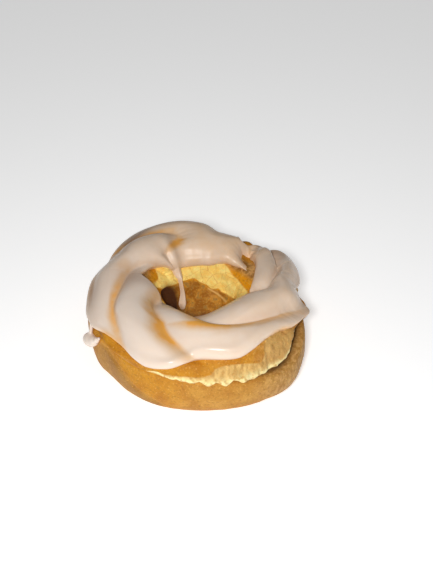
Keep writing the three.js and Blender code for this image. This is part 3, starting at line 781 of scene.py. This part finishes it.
def bake_ring(material):
    """The dough, with its relief and the masks that its material is painted by"""
    azimuth, station = np.broadcast_arrays(crust_columns()[None, :], crust_rows()[:, None])
    out = strand_relief(azimuth, station, SHARP) + crags(azimuth, station) + fine_relief(azimuth, station)
    grid = position(azimuth, station, out)
    grid[..., 2] = np.maximum(grid[..., 2] - fray(azimuth, station), 0)
    masks = {
        "torn": torn(azimuth, station, TORN_PAINT_EDGE),
        "station": station,
        "inside": ease(station, CREST, CREST + 0.5),
        "lip": bell((station - LIP_PAINT_MIDDLE) / LIP_PAINT_SPREAD),
        "toast": toast(azimuth, station),
        # Painted shade in the deep places of the crust
        "shadowed": shadowed(azimuth, station),
        "pale_line": pale_line(azimuth, station),
        "right": between(azimuth, *RIGHT_SIDE),
        "film": film(azimuth, station),
        "darker_below_crease": darker_below_crease(azimuth, station),
    }
    ring = woven("baked_ring", grid, masks, material)
    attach(ring, "root")
    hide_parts("choux_ring")


def coat_arcs(azimuth):
    """Distances round the section of the icing's rows, close together at its edges"""
    outer, inner = icing_edges(azimuth)
    edge = np.array(EDGE_ROWS)[:, None]
    middle = np.linspace(0, 1, COAT_ROWS)[1:-1, None]
    across = (outer + edge[-1]) * (1 - middle) + (inner - edge[-1]) * middle
    run = np.linspace(0, 1, RUN_ROWS)[1:, None]
    down = (inner - edge[0]) * (1 - run) + ARC[WALL_END] * run
    return np.concatenate([outer + edge, across, (inner - edge)[::-1], down])


def pour_icing(material):
    """The coat, closed underneath by rows that run back through the dough"""
    azimuth = np.linspace(0, 360, ICING_COLUMNS, endpoint=False)[None, :]
    station = np.interp(coat_arcs(azimuth), ARC, STEPS)
    azimuth = np.broadcast_to(azimuth, station.shape)
    top = position(azimuth, station, icing_top(azimuth, station))
    back = np.linspace(0, 1, ROOT_ROWS)[:, None]
    root_station = station[-1] * (1 - back) + station[0] * back
    sunk = np.full(root_station.shape, -GROOVE_DEPTH - ICING_ROOT)
    root = position(azimuth[:ROOT_ROWS], root_station, sunk)
    grid = np.concatenate([top, root])
    hidden = np.zeros(root_station.shape)
    masks = {
        "tint": np.concatenate([tint(azimuth, station), hidden]),
        # Painted shade on the icing
        "icing_painted_shade": np.concatenate([icing_painted_shade(azimuth, station), hidden]),
        "dull": np.concatenate([between(azimuth, *DULL_BACK), hidden]),
    }
    coat = woven("poured_icing", grid, masks, material)
    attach(coat, "root")
    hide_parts("icing")


def on_ring(azimuth, radius, height):
    """A point given by azimuth, radius and height, from the origin"""
    angle = np.radians(azimuth)
    return Vector((radius * np.cos(angle) - CENTRE[0], radius * np.sin(angle) - CENTRE[1], height))


def melt(name, rows):
    """One smooth mesh of balls melted together"""
    balls = bpy.data.metaballs.new(name)
    balls.resolution = BALL_FINENESS
    balls.threshold = BALL_EDGE
    for azimuth, radius, height, size in rows:
        ball = balls.elements.new()
        ball.co = on_ring(azimuth, radius, height)
        ball.radius = size * BALL_SPREAD
    source = bpy.data.objects.new(name, balls)
    bpy.context.scene.collection.objects.link(source)
    shape = source.evaluated_get(bpy.context.evaluated_depsgraph_get())
    mesh = bpy.data.meshes.new_from_object(shape)
    mesh.transform(Matrix.Scale(MM, 4))
    bpy.data.objects.remove(source)
    mesh.polygons.foreach_set("use_smooth", np.ones(len(mesh.polygons), bool))
    return mesh


def hang_drop(material):
    """The drop at the side and its thread"""
    along = np.linspace(0, len(THREAD) - 1, THREAD_BALLS)
    thread = np.array([np.interp(along, range(len(THREAD)), values) for values in zip(*THREAD)]).T
    mesh = melt("drop", [*DROP, *thread.tolist()])
    mesh.materials.clear()
    mesh.materials.append(material)
    drop = bpy.data.objects.new("icing_drop", mesh)
    bpy.context.scene.collection.objects.link(drop)
    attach(drop, "root")
    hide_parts("icing")


# Materials

# How strong each finer layer of noise is, and how noise is squeezed so that its streaks stand upright
CLOUD_ROUGHNESS = 0.55
UPRIGHT = (1, 1, 0.4)


def colour(red, green, blue):
    """A screen colour, 0 to 255, as the renderer's linear colour"""
    c = np.array((red, green, blue)) / 255
    linear = np.where(c <= 0.04045, c / 12.92, ((c + 0.055) / 1.055) ** 2.4)
    return (*linear, 1)


# Colours of the crust: its side, the browner base, the wall of the hole and where the icing thins out
TAN = colour(204, 154, 76)
DEEP_TAN = colour(184, 130, 54)
ORANGE = colour(210, 146, 34)
DEEP_ORANGE = colour(190, 122, 20)
GREY_TAN = colour(156, 112, 56)
PALE_TAN = colour(212, 168, 108)
BASE_BROWN = colour(150, 102, 46)
WALL_BROWN = colour(160, 100, 18)
WALL_GOLD = colour(206, 142, 46)
WALL_PATCH = colour(166, 124, 56)
WALL_AMBER = colour(224, 148, 4)
ROUGH_BROWN = colour(142, 98, 42)
ROUGH_TAN = colour(196, 148, 86)
FILM_TAN = colour(206, 156, 98)

# Colours of the torn crumb: outside, on the lip and in the hole
CRUMB_DARK = colour(198, 150, 80)
CRUMB_LIGHT = colour(232, 192, 118)
CRUMB_RIGHT = colour(186, 140, 76)
CREAM = colour(255, 238, 172)
PLATE_GOLD = colour(255, 210, 106)
PLATE_LIGHT = colour(255, 230, 136)
PLATE_LINE = colour(206, 146, 62)

# Small marks, and the painted shade of deep places
SPECK = colour(146, 92, 34)
GLINT = colour(238, 190, 100)
DEEP_SHADE = colour(74, 38, 8)
PALE_LINE_COLOUR = colour(232, 184, 104)

# Colours of the icing: thick, thin, hardly there, and a grey for painted shade
SUGAR = colour(240, 224, 210)
THIN_SUGAR = colour(232, 194, 152)
SHOWN_DOUGH = colour(240, 172, 80)
SHADED_SUGAR = colour(150, 114, 90)


class Paint:
    """A material and short ways of adding nodes to it"""

    def __init__(self, name):
        self.material = bpy.data.materials.new(name)
        self.material.use_nodes = True
        self.tree = self.material.node_tree
        self.shader = self.tree.nodes["Principled BSDF"]
        self.place = self.add("ShaderNodeTexCoord").outputs["Object"]

    def add(self, kind, **settings):
        node = self.tree.nodes.new(kind)
        for name, value in settings.items():
            setattr(node, name, value)
        return node

    def put(self, socket, value):
        if isinstance(value, bpy.types.NodeSocket):
            self.tree.links.new(value, socket)
        else:
            socket.default_value = value

    def mask(self, name):
        return self.add("ShaderNodeAttribute", attribute_name=name).outputs["Fac"]

    def cloud(self, size, detail=3.0, stretch=None):
        """Noise, 0 to 1, with features of a size in millimetres"""
        node = self.add("ShaderNodeTexNoise")
        node.inputs["Scale"].default_value = 1 / (size * MM)
        node.inputs["Detail"].default_value = detail
        node.inputs["Roughness"].default_value = CLOUD_ROUGHNESS
        place = self.place
        if stretch:
            mapping = self.add("ShaderNodeMapping")
            mapping.inputs["Scale"].default_value = stretch
            self.put(mapping.inputs["Vector"], place)
            place = mapping.outputs["Vector"]
        self.put(node.inputs["Vector"], place)
        return node.outputs["Fac"]

    def cells(self, size):
        """Distance to the borders of scattered cells of a size in millimetres, 0 at a border"""
        node = self.add("ShaderNodeTexVoronoi", feature="DISTANCE_TO_EDGE")
        node.inputs["Scale"].default_value = 1 / (size * MM)
        self.put(node.inputs["Vector"], self.place)
        return node.outputs["Distance"]

    def steps(self, value, low, high, kind="SMOOTHSTEP"):
        """A value spread from 0 at low to 1 at high"""
        node = self.add("ShaderNodeMapRange", interpolation_type=kind)
        self.put(node.inputs["Value"], value)
        node.inputs["From Min"].default_value = low
        node.inputs["From Max"].default_value = high
        return node.outputs["Result"]

    def maths(self, operation, a, b):
        node = self.add("ShaderNodeMath", operation=operation)
        self.put(node.inputs[0], a)
        self.put(node.inputs[1], b)
        return node.outputs["Value"]

    def mix(self, share, a, b):
        node = self.add("ShaderNodeMix", data_type="RGBA")
        self.put(node.inputs["Factor"], share)
        self.put(node.inputs["A"], a)
        self.put(node.inputs["B"], b)
        return node.outputs["Result"]

    def bump(self, height, depth, normal=None):
        """Bumps of a depth in millimetres"""
        node = self.add("ShaderNodeBump")
        node.inputs["Distance"].default_value = depth * MM
        self.put(node.inputs["Height"], height)
        if normal is not None:
            self.put(node.inputs["Normal"], normal)
        return node.outputs["Normal"]


def baked_shade(paint):
    """Tan and orange crust, brown in the hole and greyer at the right"""
    mottle = paint.steps(paint.cloud(6), 0.3, 0.7)
    tan = paint.mix(mottle, TAN, DEEP_TAN)
    orange = paint.mix(mottle, ORANGE, DEEP_ORANGE)
    grains = paint.steps(paint.cloud(1.3, stretch=UPRIGHT), 0.35, 0.65)
    grey = paint.mix(grains, GREY_TAN, PALE_TAN)
    side = paint.mix(paint.mask("toast"), tan, orange)
    side = paint.mix(paint.maths("MULTIPLY", paint.mask("right"), 0.6), side, grey)
    # A darker brown below the base's crease, most of all next to it
    side = paint.mix(paint.maths("MULTIPLY", paint.mask("darker_below_crease"), 0.5), side, BASE_BROWN)
    brown = paint.mix(paint.steps(paint.cloud(4), 0.4, 0.6), WALL_BROWN, WALL_GOLD)
    brown = paint.mix(paint.steps(paint.cloud(2), 0.5, 0.65), brown, WALL_PATCH)
    upper = paint.steps(paint.mask("station"), 19.9, 19.2)
    wall = paint.mix(upper, brown, WALL_AMBER)
    rough = paint.mix(paint.steps(paint.cloud(2.2), 0.4, 0.6), ROUGH_BROWN, ROUGH_TAN)
    wall = paint.mix(paint.steps(paint.mask("station"), 16.4, 15.6), wall, rough)
    wall = paint.mix(paint.mask("film"), wall, FILM_TAN)
    return paint.mix(paint.mask("inside"), side, wall)


def crumb_shade(paint):
    """Golden crumb outside with cream on its lip, and paler plates in the hole"""
    streaks = paint.steps(paint.cloud(1.4, stretch=UPRIGHT), 0.3, 0.7)
    golden = paint.mix(streaks, CRUMB_DARK, CRUMB_LIGHT)
    patchy = paint.steps(paint.cloud(2.2, detail=2), 0.3, 0.55)
    golden = paint.mix(paint.maths("MULTIPLY", paint.mask("right"), 0.7), golden, CRUMB_RIGHT)
    outer = paint.mix(paint.maths("MULTIPLY", paint.mask("lip"), patchy), golden, CREAM)
    plates = paint.mix(paint.steps(paint.cloud(3), 0.3, 0.7), PLATE_GOLD, PLATE_LIGHT)
    lines = paint.steps(paint.cells(4.5), 0.03, 0.0)
    plates = paint.mix(paint.maths("MULTIPLY", lines, 0.6), plates, PLATE_LINE)
    return paint.mix(paint.mask("inside"), outer, plates)


def crust_material():
    """Crust and torn crumb with light glints, dark specks mostly on the crust, and painted shade in deep
    places
    """
    paint = Paint("baked_crust")
    shade = paint.mix(paint.mask("torn"), baked_shade(paint), crumb_shade(paint))
    specks = paint.steps(paint.cloud(0.9, detail=2), 0.5, 0.7)
    speckled = paint.maths("MULTIPLY", paint.steps(paint.mask("torn"), 1.3, -0.2), 0.45)
    shade = paint.mix(paint.maths("MULTIPLY", specks, speckled), shade, SPECK)
    glints = paint.steps(paint.cloud(0.7, detail=2), 0.55, 0.75)
    shade = paint.mix(paint.maths("MULTIPLY", glints, 0.45), shade, GLINT)
    # Painted shade in the cavity, the hollow, the seam and low in the hole
    shade = paint.mix(paint.mask("shadowed"), shade, DEEP_SHADE)
    # A pale line along the small ridge in the hole's wall
    shade = paint.mix(paint.mask("pale_line"), shade, PALE_LINE_COLOUR)
    paint.put(paint.shader.inputs["Base Color"], shade)
    paint.shader.inputs["Roughness"].default_value = 0.62
    paint.shader.inputs["Specular IOR Level"].default_value = 0.25
    paint.shader.inputs["Subsurface Weight"].default_value = 0.05
    paint.shader.inputs["Subsurface Scale"].default_value = 1.2 * MM
    fine = paint.bump(paint.cloud(0.8), 0.24)
    paint.put(paint.shader.inputs["Normal"], paint.bump(paint.cloud(3), 0.25, fine))
    return paint.material


def icing_material():
    """Pale sugar icing, tan where it is thin, with painted shade in places and duller at the back"""
    paint = Paint("sugar_icing")
    patches = paint.steps(paint.cloud(5), 0.25, 0.75)
    uneven = paint.maths("ADD", paint.maths("MULTIPLY", patches, 0.4), 0.75)
    thin = paint.steps(paint.maths("MULTIPLY", paint.mask("tint"), uneven), 0.0, 1.0, "LINEAR")
    middle = paint.steps(thin, 0.0, 0.45, "LINEAR")
    deep = paint.steps(thin, 0.4, 0.95)
    shade = paint.mix(middle, SUGAR, THIN_SUGAR)
    shade = paint.mix(deep, shade, SHOWN_DOUGH)
    # Painted shade: the icing is greyed and darkened where it is turned from the light
    shade = paint.mix(paint.mask("icing_painted_shade"), shade, SHADED_SUGAR)
    paint.put(paint.shader.inputs["Base Color"], shade)
    roughness = paint.maths("ADD", paint.maths("MULTIPLY", paint.mask("dull"), 0.12), 0.26)
    paint.put(paint.shader.inputs["Roughness"], roughness)
    paint.shader.inputs["Specular IOR Level"].default_value = 0.4
    paint.shader.inputs["Subsurface Weight"].default_value = 0.15
    paint.shader.inputs["Subsurface Radius"].default_value = (1, 0.8, 0.6)
    paint.shader.inputs["Subsurface Scale"].default_value = 1.2 * MM
    paint.put(paint.shader.inputs["Normal"], paint.bump(paint.cloud(5, detail=2), 0.1))
    return paint.material


# The studio

PHOTO_SIZE = (433, 577)
LENS = 47
SENSOR = 36
CAMERA_HEIGHT_ANGLE = 42.5
CAMERA_DISTANCE = 300
CLIP_START = 10
AIM = (-CENTRE[0], -CENTRE[1], 18)
AIM_PIXEL = (201, 309.5)
FLOOR_HALF = 2000
FLOOR_GREY = (0.9, 0.9, 0.9, 1)
FLOOR_GLOW = 0.48
SKY_STRENGTH = 0.1
WHITE = (1, 1, 1, 1)


def place_camera():
    """A camera at the photograph's angle, turned so that the ring's middle lands on its pixel"""
    tilt = np.radians(CAMERA_HEIGHT_ANGLE)
    back = Vector((0, -np.cos(tilt), np.sin(tilt)))
    right = Vector((1, 0, 0))
    up = right.cross(-back)
    pixels = LENS / SENSOR * max(PHOTO_SIZE)
    across = (AIM_PIXEL[0] - PHOTO_SIZE[0] / 2) / pixels
    down = (AIM_PIXEL[1] - PHOTO_SIZE[1] / 2) / pixels
    axis = (-back - across * right + down * up).normalized()
    data = bpy.data.cameras.new("camera")
    data.lens = LENS
    data.sensor_width = SENSOR
    data.clip_start = CLIP_START * MM
    camera = bpy.data.objects.new("camera", data)
    bpy.context.scene.collection.objects.link(camera)
    right = axis.cross(Vector((0, 0, 1))).normalized()
    turned = Matrix((right, right.cross(axis), -axis)).transposed()
    camera.matrix_world = Matrix.Translation((Vector(AIM) + back * CAMERA_DISTANCE) * MM) @ turned.to_4x4()
    bpy.context.scene.camera = camera


def area_light(name, place, target, size, power):
    """A square light that shines from a place towards a target"""
    data = bpy.data.lights.new(name, "AREA")
    data.size = size * MM
    data.energy = power
    light = bpy.data.objects.new(name, data)
    bpy.context.scene.collection.objects.link(light)
    light.location = Vector(place) * MM
    light.rotation_mode = "QUATERNION"
    light.rotation_quaternion = (Vector(place) - Vector(target)).to_track_quat("Z", "Y")
    return light


def pale_floor():
    """A wide pale floor that glows a little"""
    half = FLOOR_HALF * MM
    corners = [(-half, -half, 0), (half, -half, 0), (half, half, 0), (-half, half, 0)]
    mesh = bpy.data.meshes.new("floor")
    mesh.from_pydata(corners, [], [(0, 1, 2, 3)])
    paint = Paint("pale_floor")
    paint.shader.inputs["Base Color"].default_value = FLOOR_GREY
    paint.shader.inputs["Roughness"].default_value = 0.9
    paint.shader.inputs["Emission Color"].default_value = WHITE
    paint.shader.inputs["Emission Strength"].default_value = FLOOR_GLOW
    mesh.materials.append(paint.material)
    floor = bpy.data.objects.new("floor", mesh)
    bpy.context.scene.collection.objects.link(floor)


def soft_sky():
    """Faint even light from all round"""
    world = bpy.data.worlds.new("studio")
    world.use_nodes = True
    background = world.node_tree.nodes["Background"]
    background.inputs["Color"].default_value = WHITE
    background.inputs["Strength"].default_value = SKY_STRENGTH
    bpy.context.scene.world = world


bpy.context.scene.view_settings.view_transform = "Standard"
place_camera()
pale_floor()
soft_sky()
area_light("flash", place=(-20, -236, 232), target=(2, 0, 18), size=30, power=0.66)
softbox = area_light("softbox", place=(20, -60, 420), target=(0, 0, 15), size=300, power=0.18)
softbox.visible_glossy = False
bake_ring(crust_material())
icing = icing_material()
pour_icing(icing)
hang_drop(icing)
